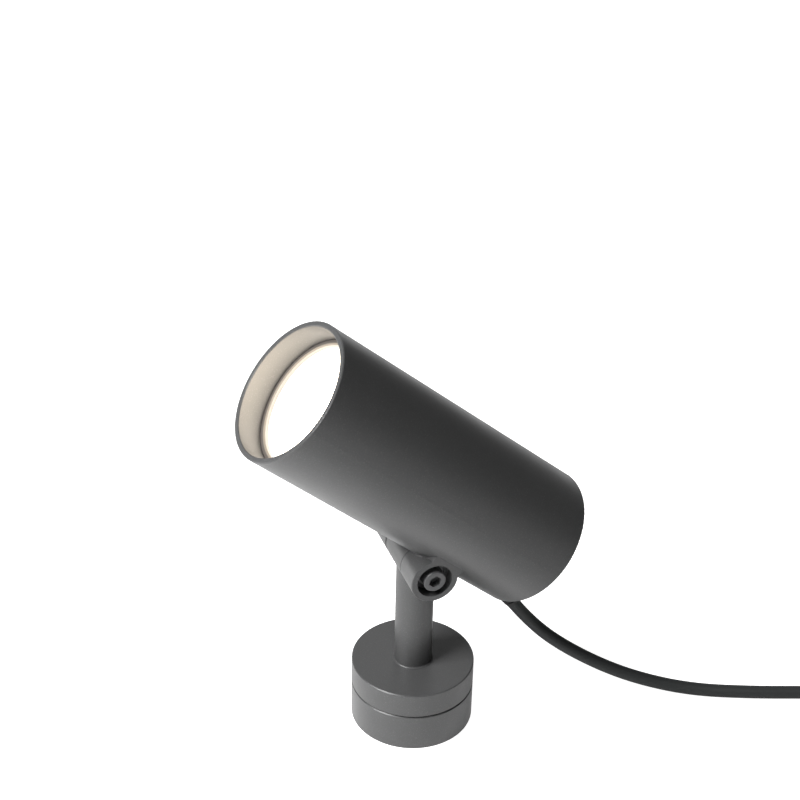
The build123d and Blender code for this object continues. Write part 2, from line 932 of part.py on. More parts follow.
def thrust_washer():
    """Slippery ring that sets the shadow gap between the two tiers."""
    ring = rod_z(thrust_washer_outer / 2, foot_height, disc_underside)
    return ring - rod_z(thrust_washer_inner / 2, foot_height, disc_underside)


def spring_washer():
    """Wave ring that keeps the swivel stiff."""
    ring = rod_z(retainer_diameter / 2, hub_foot, foot_web_underside)
    return ring - rod_z(hub_diameter / 2 + hub_clearance, hub_foot, foot_web_underside)


def stop_pin():
    """Pin in the foot's web that ends the swivel's travel."""
    pin = rod_z(
        stop_pin_diameter / 2,
        foot_web_underside - stop_pin_length,
        foot_web_underside + stop_pin_seat,
    )
    return Pos(0, stop_pin_circle / 2, 0) * pin


def bottom_cover():
    """Snap-in plate that closes the foot's cavity."""
    radius = foot_cavity_diameter / 2 - slip_gap / 2
    return rod_z(radius, cover_underside, cover_underside + cover_thickness)


def foot_pad():
    """Rubber ring under the foot, pierced for the fixings."""
    pad = rod_z(foot_pad_outer / 2 - slip_gap / 2, 0, foot_pad_thickness)
    pad -= rod_z(foot_pad_inner / 2 + slip_gap / 2, 0, foot_pad_thickness)
    for place in fixing_places():
        hole = fixing_hole_diameter / 2 + foot_pad_hole_gap
        pad -= place * rod_z(hole, 0, foot_pad_thickness)
    return pad


# Cord


def coil_frame():
    """Frame at the start of the coil on the floor, its X along the cord's heading."""
    return Pos(*coil_start, 0) * Rot(0, 0, coil_heading)


def free_route():
    """The hand-chosen points with both ends, where the cord leaves the boot and meets the coil."""
    tip = (head_frame * boot_frame(1)).position
    first = (head_frame * boot_frame(1) * Pos(0, 0, cord_first_run)).position
    lead_in = (coil_frame() * Pos(-coil_lead_in, 0, coil_floor)).position
    end = (coil_frame() * Pos(0, 0, coil_floor)).position
    return [tip, first] + [Vector(*p) for p in cord_route] + [lead_in, end]


def bend_radii(points):
    """Largest bend that each pair of runs allows."""
    radii = []
    for before, here, after in zip(points, points[1:], points[2:]):
        turn = (here - before).get_angle(after - here)
        shorter = min((here - before).length, (after - here).length)
        radii.append(0.45 * shorter / tan(radians(turn / 2)))
    return radii


def tube_along(path):
    """Round cord swept along a path."""
    return sweep(Plane(path @ 0, z_dir=path % 0) * Circle(cord_radius), path=path)


def cord():
    """Free stretch of the cord from the boot down to the floor and along it."""
    points = free_route()
    radii = bend_radii(points)
    path = FilletPolyline(*points, radius=radii)
    tube = tube_along(path)
    print("cord radii", [round(r, 1) for r in radii])
    print("cord length", round(path.length, 1))
    print("cord volume ratio", round(tube.volume / (pi * cord_radius**2 * path.length), 4))
    return tube


def biarc(start, heading, end, leaving):
    """Two tangent arcs from one point and heading to another."""
    span = end - start
    sum_of_ways = heading + leaving
    if sum_of_ways.length < 1e-6:
        reach = span.length / 2
    else:
        square = sum_of_ways.dot(sum_of_ways) - 4
        along = span.dot(sum_of_ways)
        reach = (along - sqrt(along**2 - square * span.dot(span))) / square
    joint = (start + heading * reach + end - leaving * reach) * 0.5
    first = TangentArc(start, joint, tangent=heading)
    return [first, TangentArc(joint, end, tangent=first % 1)]


def coil_stations():
    """Half-turn points of the coil: inwards on the floor, up a layer, and outwards again."""
    half_turns = 2 * coil_turns_in
    inward = [coil_outer - coil_pitch / 2 * i for i in range(half_turns + 2)]
    radii = inward + inward[half_turns - 1 : 0 : -1]
    levels = [coil_floor] * (half_turns + 1) + [coil_top] * half_turns
    stations = []
    for i, (radius, level) in enumerate(zip(radii, levels)):
        side = -1 if i % 2 == 0 else 1
        stations.append(Vector(cord_diameter, coil_outer + side * radius, level))
    return stations


def coil_path():
    """Line of the coil in its own frame, with a straight lead-in and a straight tail."""
    stations = coil_stations()
    ahead = Vector(1, 0, 0)
    edges = [Line(Vector(0, 0, coil_floor), stations[0])]
    for i, (here, after) in enumerate(zip(stations, stations[1:])):
        heading = ahead if i % 2 == 0 else ahead * -1
        edges += biarc(here, heading, after, heading * -1)
    last = stations[-1]
    reach = coil_outer - last.Y + coil_pitch / 4
    corner = last + Vector(reach, reach, 0)
    edges.append(TangentArc(last, corner, tangent=ahead))
    edges.append(Line(corner, corner + Vector(0, coil_tail, 0)))
    return edges


def least_gap(edges):
    """Smallest space between stretches of the coil that lie side by side, measured on points."""
    samples = []
    walked = 0.0
    for edge in edges:
        count = max(4, int(edge.length / 4))
        for i in range(count):
            samples.append((walked + edge.length * i / count, edge @ (i / count)))
        walked += edge.length
    least = coil_outer
    for i, (here, a) in enumerate(samples):
        for there, b in samples[i + 1 :]:
            if there - here > 4 * cord_diameter:
                least = min(least, (a - b).length - cord_diameter)
    return least


def cord_coil():
    """Put-away length: turns spiralling in on the floor and out again on top, with a straight tail."""
    edges = coil_path()
    path = Wire(edges)
    tube = tube_along(path)
    print("coil length", round(path.length, 1), "least gap", round(least_gap(edges), 2))
    print("coil volume ratio", round(tube.volume / (pi * cord_radius**2 * path.length), 4))
    return coil_frame() * tube


def cord_ties():
    """Two flat straps round the coil's turns, on opposite sides."""
    top = coil_top + cord_radius + tie_lift
    half = tie_width / 2
    straps = []
    for side, shift in ((-1, 0), (1, 0.25)):
        inner = coil_outer - coil_pitch * (coil_turns_in + shift) - cord_radius - tie_gap
        outer = coil_outer - coil_pitch * (0.75 - 2 * shift) + cord_radius + tie_gap
        near, far = sorted((side * inner, side * outer))
        hole = block(near, far, -half, half, tie_thickness, top)
        band = block(
            near - tie_thickness, far + tie_thickness, -half, half, 0, top + tie_thickness
        )
        band = fillet(band.edges().filter_by(Axis.Y), tie_thickness / 2)
        straps.append(coil_frame() * Pos(cord_diameter, coil_outer, 0) * (band - hole))
    return straps


def connector_frame():
    """Frame at the cord's far end, its Z along the connector."""
    end = coil_path()[-1] @ 1
    return coil_frame() * Pos(*end) * Rot(-90, 0, 0)


def connector_body():
    """Moulded connector: a tapered tail on the cord, a round body and a face for the pins."""
    nose = connector_length + connector_nut_length
    root = cord_radius + connector_nut_step
    step = connector_radius - connector_nut_step
    body = spun(
        (0, 0),
        (root, 0),
        (step, connector_length / 3),
        (step, nose),
        (0, nose),
    )
    return connector_frame() * body


def connector_nut():
    """Ribbed coupling ring round the connector's nose."""
    ring = rod_z(connector_radius, connector_length, connector_length + connector_nut_length)
    groove = connector_nut_step
    for i in range(connector_grip_count):
        notch = rod_z(groove / 2, connector_length, connector_length + connector_nut_length)
        turn = Rot(0, 0, 360 / connector_grip_count * (i + 0.5))
        ring -= turn * Pos(connector_radius, 0, 0) * notch
    bore = connector_radius - connector_nut_step + slip_gap / 2
    ring -= rod_z(bore, connector_length, connector_length + connector_nut_length)
    return connector_frame() * ring


def connector_pins():
    """Two contact pins that stand out of the connector's face."""
    nose = connector_length + connector_nut_length
    pin = rod_z(pin_diameter / 2, nose, nose + pin_length)
    tip = pin.edges().filter_by(GeomType.CIRCLE).sort_by(Axis.Z)[-1]
    pin = fillet(tip, pin_diameter / 4)
    return [connector_frame() * Pos(x, 0, 0) * pin for x in (-pin_circle / 2, pin_circle / 2)]


def write(name, shape):
    """Write one node, a single piece or a list of alike pieces."""
    pieces = shape if isinstance(shape, list) else [shape]
    solids = [solid for piece in pieces for solid in piece.solids()]
    export_step(Compound(children=solids) if len(solids) > 1 else solids[0], f"parts/{name}.step")


HEAD_PIECES = [
    head_tube,
    hinge_bracket,
    clamp_bridge,
    bridge_screws,
    retaining_ring,
    front_glass,
    glass_gasket,
    reflector,
    led_board,
    led_chip,
    board_screws,
    heat_sink,
    driver_tray,
    driver_board,
    driver_choke,
    driver_capacitor,
    terminal_block,
    led_leads,
    supply_leads,
    rear_cap,
    rear_o_ring,
    rear_cap_screws,
    gland_seal,
    gland_nut,
    cord_boot,
    cord_inner,
    tilt_screw,
    tilt_washer,
    tilt_nut,
]
STANDING_PIECES = [
    stem,
    friction_washer,
    swivel_disc,
    retaining_washer,
    swivel_screw,
    foot,
    thrust_washer,
    spring_washer,
    stop_pin,
    bottom_cover,
    foot_pad,
    cord,
    cord_coil,
    cord_ties,
    connector_body,
    connector_nut,
    connector_pins,
]

os.makedirs("parts", exist_ok=True)
for make in HEAD_PIECES:
    made = make()
    pieces = made if isinstance(made, list) else [made]
    write(make.__name__, [head_frame * piece for piece in pieces])
for make in STANDING_PIECES:
    write(make.__name__, make())
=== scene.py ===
import logging
from dataclasses import dataclass, field
from enum import Enum
from math import copysign, cos, pi, radians, sin
from typing import Iterable

import bpy
from mathutils import Matrix, Vector


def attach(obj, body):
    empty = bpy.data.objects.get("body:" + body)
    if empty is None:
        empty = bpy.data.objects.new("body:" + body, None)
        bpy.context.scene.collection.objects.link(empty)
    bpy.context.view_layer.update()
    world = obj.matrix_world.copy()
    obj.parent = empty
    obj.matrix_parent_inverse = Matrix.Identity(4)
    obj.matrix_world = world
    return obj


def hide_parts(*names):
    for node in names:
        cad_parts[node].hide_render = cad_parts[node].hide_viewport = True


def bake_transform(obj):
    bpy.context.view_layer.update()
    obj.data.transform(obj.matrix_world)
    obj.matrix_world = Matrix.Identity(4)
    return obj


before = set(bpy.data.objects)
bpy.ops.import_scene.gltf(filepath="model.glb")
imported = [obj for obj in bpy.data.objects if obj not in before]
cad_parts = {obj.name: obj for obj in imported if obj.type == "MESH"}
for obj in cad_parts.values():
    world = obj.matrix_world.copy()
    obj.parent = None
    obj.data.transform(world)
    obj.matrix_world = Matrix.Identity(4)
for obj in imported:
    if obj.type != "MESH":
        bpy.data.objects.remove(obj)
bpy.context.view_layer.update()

LOG = logging.getLogger("spotlight")
MM = 0.001
WELD = 0.001 * MM
MIX_COLOUR_INPUTS = (0, 6, 7)
MIX_COLOUR_OUTPUT = 2
Colour = tuple[float, float, float]
Point = tuple[float, float, float]


class Body(Enum):
    """The moving bodies that new pieces ride on."""

    COLUMN = "column"
    HEAD = "head"


class Smooth(Enum):
    """Angle in degrees below which the faces of a kind of piece are shaded smooth."""

    MOULDED = 40.0
    CORD = 60.0


class NodeKit:
    """Small helpers to lay shader nodes in a tree."""

    def __init__(self, tree: bpy.types.NodeTree) -> None:
        """Keep the tree that nodes are added to.

        Args:
            tree: a material's or a group's node tree.
        """
        self.tree = tree

    def add(self, kind: str, inputs: dict | None = None, **settings: object) -> bpy.types.Node:
        """Add a node with its settings and socket values.

        Args:
            kind: the node's type name.
            inputs: socket name or number to a value or an output socket.
            **settings: attributes of the node.

        Returns:
            The new node.
        """
        node = self.tree.nodes.new(kind)
        for name, value in settings.items():
            setattr(node, name, value)
        for key, value in (inputs or {}).items():
            if isinstance(value, bpy.types.NodeSocket):
                self.tree.links.new(value, node.inputs[key])
            else:
                node.inputs[key].default_value = value
        return node

    def math(self, operation: str, *values: object) -> bpy.types.NodeSocket:
        """Add a math node.

        Args:
            operation: the node's operation.
            *values: numbers or sockets.

        Returns:
            The value socket.
        """
        node = self.add("ShaderNodeMath", dict(enumerate(values)), operation=operation)
        return node.outputs[0]

    def ramp(
        self, value: bpy.types.NodeSocket, low: float, high: float, start: float, end: float
    ) -> bpy.types.NodeSocket:
        """Map a value from one range to another, held at both ends.

        Args:
            value: the socket to map.
            low: value that gives start.
            high: value that gives end.
            start: result at low.
            end: result at high.

        Returns:
            The result socket.
        """
        node = self.add(
            "ShaderNodeMapRange",
            {"Value": value, "From Min": low, "From Max": high, "To Min": start, "To Max": end},
        )
        return node.outputs[0]

    def mix(self, share: object, first: object, second: object) -> bpy.types.NodeSocket:
        """Mix two colours.

        Args:
            share: socket or number, 0 for the first colour and 1 for the second.
            first: colour or socket.
            second: colour or socket.

        Returns:
            The colour socket.
        """
        colours = [c if isinstance(c, bpy.types.NodeSocket) else (*c, 1.0) for c in (first, second)]
        inputs = dict(zip(MIX_COLOUR_INPUTS, (share, *colours)))
        return self.add("ShaderNodeMix", inputs, data_type="RGBA").outputs[MIX_COLOUR_OUTPUT]


class Effects:
    """Node groups that several finishes share."""

    FINE_SHARE = 0.6
    SPECKLE_RANGE = (0.58, 0.72)
    CLOUD_RANGE = (0.35, 0.7)
    CLOUD_DETAIL = 5.0

    @staticmethod
    def group(name: str, inputs: Iterable[str], outputs: Iterable[str]) -> tuple:
        """Start a group with float sockets and a vector input named Place.

        Args:
            name: the group's name.
            inputs: names of the float inputs.
            outputs: names of the float outputs.

        Returns:
            The tree, its kit, the input node and the output node.
        """
        tree = bpy.data.node_groups.new(name, "ShaderNodeTree")
        tree.interface.new_socket("Place", in_out="INPUT", socket_type="NodeSocketVector")
        for label in inputs:
            tree.interface.new_socket(label, in_out="INPUT", socket_type="NodeSocketFloat")
        for label in outputs:
            tree.interface.new_socket(label, in_out="OUTPUT", socket_type="NodeSocketFloat")
        kit = NodeKit(tree)
        return tree, kit, kit.add("NodeGroupInput"), kit.add("NodeGroupOutput")

    @classmethod
    def grain(cls) -> bpy.types.NodeTree:
        """Fine moulded or sprayed grain: a height, and a mask of its speckle."""
        tree, kit, given, out = cls.group(
            "fine_grain", ("Scale", "Orange Peel"), ("Height", "Speckle")
        )
        place = given.outputs["Place"]
        fine = kit.add("ShaderNodeTexNoise", {"Vector": place, "Scale": given.outputs["Scale"]})
        peel = kit.add(
            "ShaderNodeTexNoise", {"Vector": place, "Scale": given.outputs["Orange Peel"]}
        )
        height = kit.math(
            "ADD", kit.math("MULTIPLY", fine.outputs["Fac"], cls.FINE_SHARE), peel.outputs["Fac"]
        )
        tree.links.new(height, out.inputs["Height"])
        speckle = kit.ramp(fine.outputs["Fac"], *cls.SPECKLE_RANGE, 0.0, 1.0)
        tree.links.new(speckle, out.inputs["Speckle"])
        return tree

    @classmethod
    def handling(cls) -> bpy.types.NodeTree:
        """Large soft patches of handling and dust: one mask."""
        tree, kit, given, out = cls.group("handling", ("Scale",), ("Mask",))
        cloud = kit.add(
            "ShaderNodeTexNoise",
            {
                "Vector": given.outputs["Place"],
                "Scale": given.outputs["Scale"],
                "Detail": cls.CLOUD_DETAIL,
            },
        )
        mask = kit.ramp(cloud.outputs["Fac"], *cls.CLOUD_RANGE, 0.0, 1.0)
        tree.links.new(mask, out.inputs["Mask"])
        return tree


@dataclass(frozen=True)
class Finish:
    """A surface finish with a coat colour, its speckle, gloss and grain."""

    name: str
    colour: Colour
    speckle: Colour
    roughness: float = 0.5
    gloss_change: float = 0.08
    metallic: float = 0.0
    specular: float = 0.4
    grain_scale: float = 2200.0
    peel_scale: float = 500.0
    bump: float = 0.12
    bump_depth: float = 0.04 * MM
    handling: float = 0.15
    handling_scale: float = 22.0
    worn_gain: float = 1.12
    worn_lift: float = 0.004

    def build(self, groups: dict[str, bpy.types.NodeTree]) -> bpy.types.Material:
        """Make the material.

        Args:
            groups: shared node groups by name.

        Returns:
            The new material.
        """
        material = bpy.data.materials.new(self.name)
        material.use_nodes = True
        material.diffuse_color = (*self.colour, 1.0)
        kit = NodeKit(material.node_tree)
        links = material.node_tree.links
        shader = material.node_tree.nodes["Principled BSDF"]
        place = kit.add("ShaderNodeTexCoord").outputs["Object"]
        grain = kit.add(
            "ShaderNodeGroup",
            {"Place": place, "Scale": self.grain_scale, "Orange Peel": self.peel_scale},
            node_tree=groups["grain"],
        )
        handling = kit.add(
            "ShaderNodeGroup",
            {"Place": place, "Scale": self.handling_scale},
            node_tree=groups["handling"],
        )
        coat = kit.mix(grain.outputs["Speckle"], self.colour, self.speckle)
        worn = tuple(min(1.0, c * self.worn_gain + self.worn_lift) for c in self.colour)
        touched = kit.math("MULTIPLY", handling.outputs["Mask"], self.handling)
        links.new(kit.mix(touched, coat, worn), shader.inputs["Base Color"])
        gloss = kit.ramp(
            handling.outputs["Mask"],
            0.0,
            1.0,
            self.roughness + self.gloss_change / 2,
            self.roughness - self.gloss_change / 2,
        )
        links.new(gloss, shader.inputs["Roughness"])
        bump = kit.add(
            "ShaderNodeBump",
            {"Strength": self.bump, "Distance": self.bump_depth, "Height": grain.outputs["Height"]},
        )
        links.new(bump.outputs["Normal"], shader.inputs["Normal"])
        shader.inputs["Metallic"].default_value = self.metallic
        shader.inputs["Specular IOR Level"].default_value = self.specular
        self.adjust(material, kit, shader, place)
        return material

    def adjust(
        self,
        material: bpy.types.Material,
        kit: NodeKit,
        shader: bpy.types.Node,
        place: bpy.types.NodeSocket,
    ) -> None:
        """Add what a special finish needs; a plain one needs nothing.

        Args:
            material: the finish's material.
            kit: helper on its node tree.
            shader: its surface shader.
            place: the object's own coordinates.
        """


@dataclass(frozen=True)
class GlowFinish(Finish):
    """A finish that gives light by the distance from the beam's axis, with an optional band of painted
    shade outside it; on a part that is no lamp the light is painted glow.
    """

    light: Colour = (1.0, 0.86, 0.68)
    strength: float = 18.5
    edge_light: Colour = (1.0, 0.84, 0.66)
    edge_strength: float = 0.4
    radius: float = 27.0 * MM
    bright_share: float = 0.25
    # Colour, radius and soft edge of painted shade: a dark band outside the radius that stands in for
    # the shade in the gap beside the part.
    painted_shade: Colour = (0.085, 0.074, 0.066)
    painted_shade_radius: float | None = None
    painted_shade_edge: float = 0.1 * MM

    def adjust(
        self,
        material: bpy.types.Material,
        kit: NodeKit,
        shader: bpy.types.Node,
        place: bpy.types.NodeSocket,
    ) -> None:
        """Light the surface with a soft change towards its edge (on a part that is no lamp, a painted
        glow), outside which a band may be darkened as painted shade.

        Args:
            material: the finish's material.
            kit: helper on its node tree.
            shader: its surface shader.
            place: the object's own coordinates.
        """
        links = material.node_tree.links
        axis_point, axis = HeadLine().point(0.0), HeadLine().direction()
        offset = kit.add("ShaderNodeVectorMath", {0: place, 1: axis_point}, operation="SUBTRACT")
        across = kit.add(
            "ShaderNodeVectorMath", {0: offset.outputs[0], 1: axis}, operation="CROSS_PRODUCT"
        )
        reach = kit.add(
            "ShaderNodeVectorMath", {0: across.outputs[0]}, operation="LENGTH"
        ).outputs["Value"]
        # On a part that is no lamp this emission is painted glow.
        share = kit.ramp(reach, self.radius * self.bright_share, self.radius, 0.0, 1.0)
        centre = tuple(c * self.strength for c in self.light)
        edge = tuple(c * self.edge_strength for c in self.edge_light)
        links.new(kit.mix(share, centre, edge), shader.inputs["Emission Color"])
        shader.inputs["Emission Strength"].default_value = 1.0
        if self.painted_shade_radius is None:
            return
        # Painted shade: outside this radius the coat turns dark, standing in for the shade in the gap
        # between the ring and the tube's wall.
        coat = shader.inputs["Base Color"].links[0].from_socket
        outside = kit.ramp(reach, self.painted_shade_radius, self.painted_shade_radius + self.painted_shade_edge, 0.0, 1.0)
        links.new(kit.mix(outside, coat, self.painted_shade), shader.inputs["Base Color"])


@dataclass(frozen=True)
class HeadLine:
    """The tube's axis in the lamp's frame, at rest."""

    tilt: float = 41.4
    pivot_height: float = 90.9 * MM
    axis_height: float = 32.5 * MM

    def direction(self) -> Vector:
        """Unit vector from the tube's front towards its rear."""
        angle = radians(self.tilt)
        return Vector((0.0, cos(angle), -sin(angle)))

    def rise(self) -> Vector:
        """Unit vector across the tube, from the pivot towards its axis."""
        angle = radians(self.tilt)
        return Vector((0.0, sin(angle), cos(angle)))

    def point(self, station: float, height: float | None = None) -> Vector:
        """Point at a station along the tube.

        Args:
            station: metres behind the pivot.
            height: metres from the pivot towards the tube's axis; the axis itself if left out.

        Returns:
            The point in the lamp's frame.
        """
        rise = self.axis_height if height is None else height
        return (
            Vector((0.0, 0.0, self.pivot_height))
            + self.direction() * station
            + self.rise() * rise
        )


class Bench:
    """Edit-mode modelling with Blender's own operators."""

    @staticmethod
    def clear() -> None:
        """Deselect everything, so that an operator acts on the new piece alone."""
        if bpy.context.object and bpy.context.object.mode != "OBJECT":
            bpy.ops.object.mode_set(mode="OBJECT")
        bpy.ops.object.select_all(action="DESELECT")

    @staticmethod
    def pick(piece: bpy.types.Object) -> None:
        """Make a piece the only selected one, and active."""
        Bench.clear()
        piece.select_set(True)
        bpy.context.view_layer.objects.active = piece

    @classmethod
    def turned(
        cls, name: str, profile: list[tuple[float, float]], sides: int, bore: float
    ) -> bpy.types.Object:
        """Turn a hollow piece on Z: a ring of edges is extruded and resized from station to station.

        Args:
            name: the piece's name.
            profile: (radius, height) stations in metres, from the bottom up.
            sides: points round the piece.
            bore: radius of the hole right through.

        Returns:
            The piece, at the origin.
        """
        cls.clear()
        first_radius, first_height = radius, height = profile[0]
        bpy.ops.mesh.primitive_circle_add(
            vertices=sides, radius=radius, fill_type="NOTHING", location=(0, 0, height)
        )
        piece = bpy.context.object
        piece.name = name
        bpy.ops.object.transform_apply(location=True, rotation=True, scale=True)
        bpy.ops.object.mode_set(mode="EDIT")
        bpy.ops.mesh.select_all(action="SELECT")
        for new_radius, new_height in profile[1:]:
            cls._next_ring(new_radius / radius, new_height - height, (0, 0, new_height))
            radius, height = new_radius, new_height
        cls._next_ring(bore / radius, 0.0, (0, 0, height))
        cls._next_ring(1.0, first_height - height, (0, 0, first_height))
        cls._next_ring(first_radius / bore, 0.0, (0, 0, first_height))
        bpy.ops.mesh.select_all(action="SELECT")
        bpy.ops.mesh.remove_doubles(threshold=WELD)
        bpy.ops.mesh.select_all(action="SELECT")
        bpy.ops.mesh.normals_make_consistent(inside=False)
        bpy.ops.object.mode_set(mode="OBJECT")
        return piece

    @staticmethod
    def _next_ring(scale: float, rise: float, centre: Point) -> None:
        """Extrude the selected ring by a rise and resize it about a centre."""
        bpy.ops.mesh.extrude_edges_move(TRANSFORM_OT_translate={"value": (0, 0, rise)})
        bpy.ops.transform.resize(value=(scale, scale, 1.0), center_override=centre)

    @staticmethod
    def place(piece: bpy.types.Object, matrix: Matrix) -> None:
        """Move a piece's mesh to its place and leave the object at the origin.

        Args:
            piece: the object.
            matrix: where its origin and axes go.
        """
        piece.matrix_world = matrix
        Bench.pick(piece)
        bpy.ops.object.transform_apply(location=True, rotation=True, scale=True)

    @staticmethod
    def shade(piece: bpy.types.Object, smooth: Smooth) -> None:
        """Shade a piece's faces smooth, apart from sharp edges.

        Args:
            piece: the object.
            smooth: the angle below which an edge is smooth.
        """
        Bench.pick(piece)
        bpy.ops.object.shade_smooth_by_angle(angle=radians(smooth.value))


def dress(piece: bpy.types.Object, material: bpy.types.Material) -> None:
    """Give a piece one material.

    Args:
        piece: the object.
        material: its material.
    """
    piece.data.materials.clear()
    piece.data.materials.append(material)


FINISHES: tuple[Finish, ...] = (
    Finish(
        "powder_coat",
        colour=(0.063, 0.0635, 0.064),
        speckle=(0.1, 0.1005, 0.101),
        roughness=0.36,
        specular=0.5,
        bump=0.6,
    ),
    Finish(
        "dark_screw",
        colour=(0.1, 0.1, 0.102),
        speckle=(0.125, 0.125, 0.126),
        roughness=0.36,
        metallic=0.4,
    ),
    Finish(
        "satin_steel",
        colour=(0.42, 0.42, 0.43),
        speckle=(0.5, 0.5, 0.5),
        roughness=0.32,
        metallic=1.0,
        grain_scale=1500.0,
    ),
    Finish(
        "mill_aluminium",
        colour=(0.62, 0.62, 0.64),
        speckle=(0.7, 0.7, 0.71),
        roughness=0.42,
        metallic=1.0,
        grain_scale=1200.0,
    ),
    Finish(
        "bright_aluminium",
        colour=(0.85, 0.85, 0.86),
        speckle=(0.88, 0.88, 0.88),
        roughness=0.16,
        metallic=1.0,
        bump=0.03,
    ),
    # The retaining ring is no lamp: its faint emission, brightest at its inner edge, is painted glow
    # from the lamp beside it, and its dark band outside 28.1 mm is painted shade.
    GlowFinish(
        "ring_painted_glow",
        colour=(0.21, 0.185, 0.152),
        speckle=(0.23, 0.202, 0.168),
        roughness=0.5,
        light=(1.0, 0.93, 0.85),
        strength=0.45,
        edge_light=(1.0, 0.86, 0.7),
        edge_strength=0.04,
        radius=27.4 * MM,
        bright_share=0.992,
        painted_shade_radius=28.1 * MM,
    ),
    GlowFinish(
        "lit_frosted_glass",
        colour=(0.9, 0.9, 0.88),
        speckle=(0.92, 0.92, 0.9),
        roughness=0.3,
    ),
    Finish(
        "seal_rubber",
        colour=(0.022, 0.022, 0.023),
        speckle=(0.03, 0.03, 0.03),
        roughness=0.7,
    ),
    Finish(
        "cord_rubber",
        colour=(0.024, 0.026, 0.026),
        speckle=(0.034, 0.036, 0.036),
        roughness=0.55,
        specular=0.35,
        grain_scale=3200.0,
        peel_scale=350.0,
    ),
    Finish(
        "moulded_plastic",
        colour=(0.02, 0.02, 0.021),
        speckle=(0.028, 0.028, 0.029),
        roughness=0.5,
    ),
    Finish(
        "white_board",
        colour=(0.7, 0.7, 0.66),
        speckle=(0.74, 0.74, 0.7),
        roughness=0.35,
    ),
    Finish(
        "yellow_phosphor",
        colour=(0.8, 0.55, 0.08),
        speckle=(0.85, 0.6, 0.1),
        roughness=0.5,
    ),
    Finish(
        "blue_sleeve",
        colour=(0.02, 0.03, 0.09),
        speckle=(0.025, 0.04, 0.11),
        roughness=0.3,
    ),
    Finish(
        "grey_silicone",
        colour=(0.5, 0.5, 0.5),
        speckle=(0.55, 0.55, 0.55),
        roughness=0.6,
    ),
    Finish(
        "turned_brass",
        colour=(0.62, 0.42, 0.13),
        speckle=(0.7, 0.5, 0.18),
        roughness=0.25,
        metallic=1.0,
    ),
    Finish(
        "strap_weave",
        colour=(0.016, 0.016, 0.017),
        speckle=(0.05, 0.05, 0.052),
        roughness=0.85,
        grain_scale=1800.0,
        bump=0.5,
        bump_depth=0.12 * MM,
    ),
)


@dataclass
class Finishes:
    """All the lamp's finishes, built once."""

    groups: dict[str, bpy.types.NodeTree] = field(default_factory=dict)
    made: dict[str, bpy.types.Material] = field(default_factory=dict)

    def build(self) -> None:
        """Make the node groups and every material."""
        self.groups = {"grain": Effects.grain(), "handling": Effects.handling()}
        for finish in FINISHES:
            self.made[finish.name] = finish.build(self.groups)

    def __getitem__(self, name: str) -> bpy.types.Material:
        """The material of that name."""
        return self.made[name]


@dataclass
class NodeDress:
    """Finish of each CAD node that stays as it is."""

    coats: dict[str, tuple[str, ...]] = field(
        default_factory=lambda: {
            "powder_coat": (
                "head_tube",
                "hinge_bracket",
                "rear_cap",
                "stem",
                "foot",
                "swivel_disc",
            ),
            "dark_screw": ("tilt_screw", "tilt_washer", "tilt_nut"),
            "satin_steel": (
                "bridge_screws",
                "board_screws",
                "rear_cap_screws",
                "retaining_washer",
                "swivel_screw",
                "spring_washer",
                "stop_pin",
            ),
            "mill_aluminium": ("clamp_bridge", "heat_sink"),
            "bright_aluminium": ("reflector",),
            "ring_painted_glow": ("retaining_ring",),
            "lit_frosted_glass": ("front_glass",),
            "seal_rubber": ("glass_gasket", "rear_o_ring", "gland_seal", "foot_pad"),
            "cord_rubber": ("cord_inner",),
            "moulded_plastic": (
                "driver_tray",
                "bottom_cover",
                "gland_nut",
                "friction_washer",
                "thrust_washer",
                "connector_body",
                "connector_nut",
                "terminal_block",
                "driver_choke",
            ),
            "white_board": ("led_board", "driver_board"),
            "yellow_phosphor": ("led_chip",),
            "blue_sleeve": ("driver_capacitor",),
            "grey_silicone": ("led_leads", "supply_leads"),
            "turned_brass": ("connector_pins",),
        }
    )

    def apply(self, finishes: Finishes) -> None:
        """Dress every node.

        Args:
            finishes: the built materials.
        """
        for coat, names in self.coats.items():
            for name in names:
                dress(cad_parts[name], finishes[coat])
            LOG.info("%s on %d nodes", coat, len(names))


